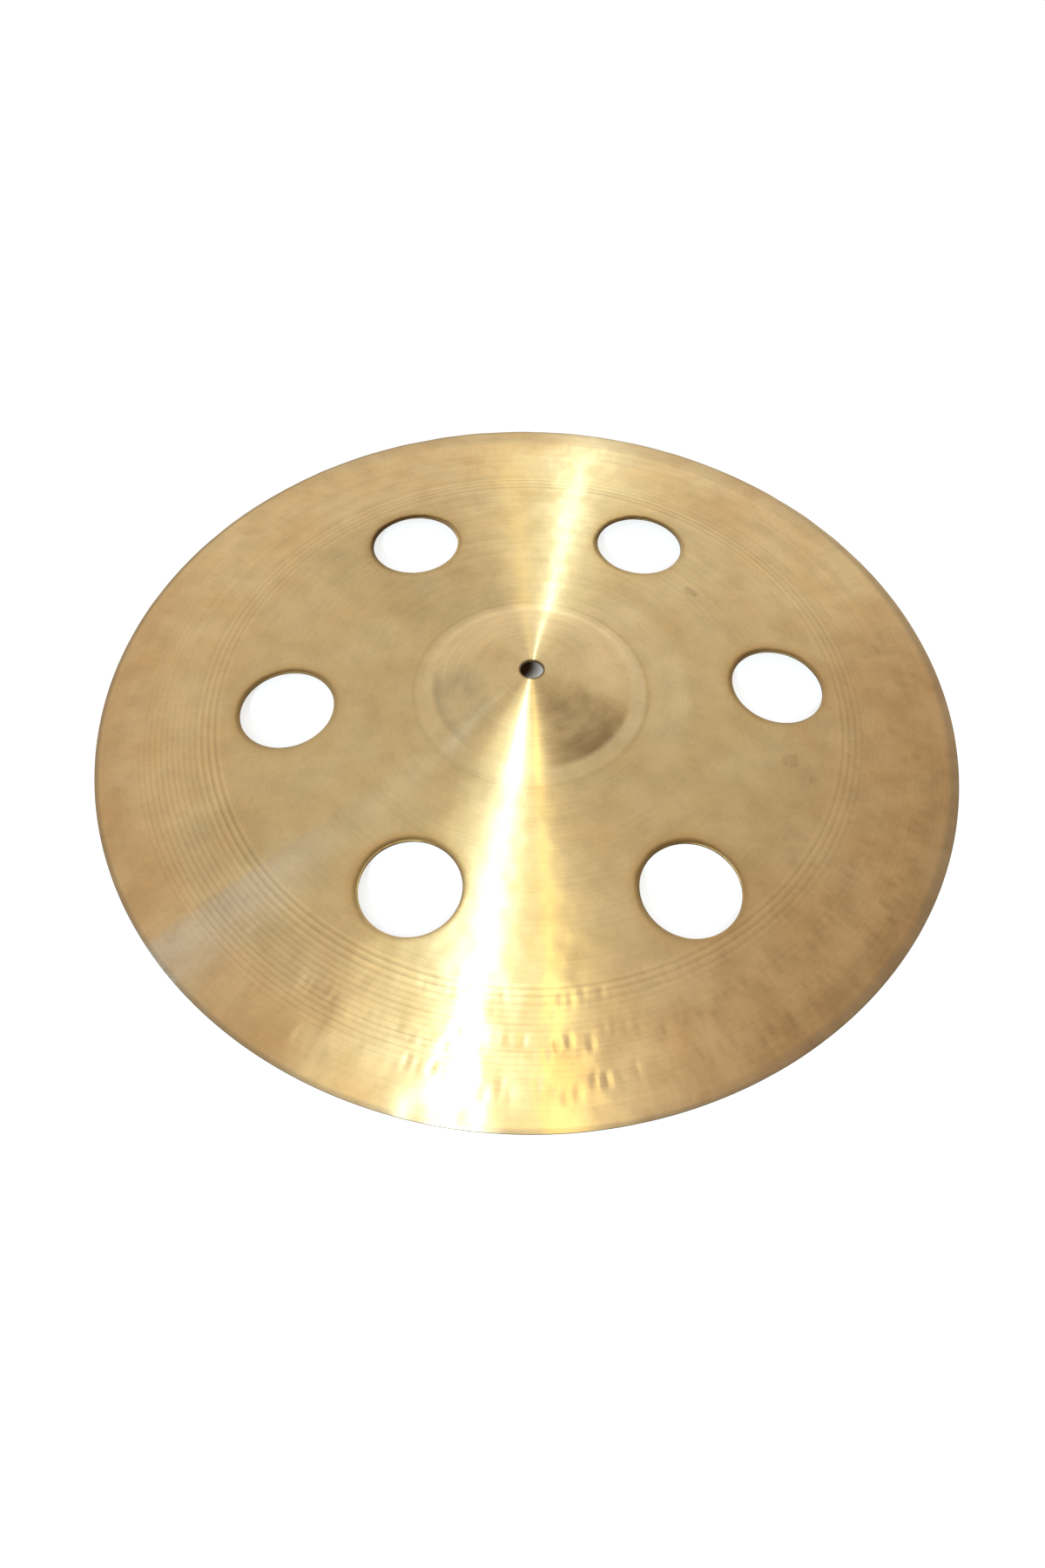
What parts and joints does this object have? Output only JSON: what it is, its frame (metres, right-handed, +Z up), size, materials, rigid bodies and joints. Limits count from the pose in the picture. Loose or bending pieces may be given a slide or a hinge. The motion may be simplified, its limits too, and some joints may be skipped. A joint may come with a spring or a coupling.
{
  "type": "crash cymbal",
  "caption": "Round dished bronze crash cymbal with a low bell, a plain centre hole for a stand's rod and large round vents through the bow.",
  "frame": {"origin": "on the centre hole's axis, in the plane that the edge rests on", "axes": "+Z up through the bell, along the centre hole; +X to the right in the picture and +Y away from its camera"},
  "size_m": [0.4572, 0.4572, 0.0323],
  "materials": {
    "bronze": "lathed and hand-hammered bell bronze, with fine rings"
  },
  "bodies": {
    "root": {"cymbal": "bronze"}
  },
  "joints": []
}
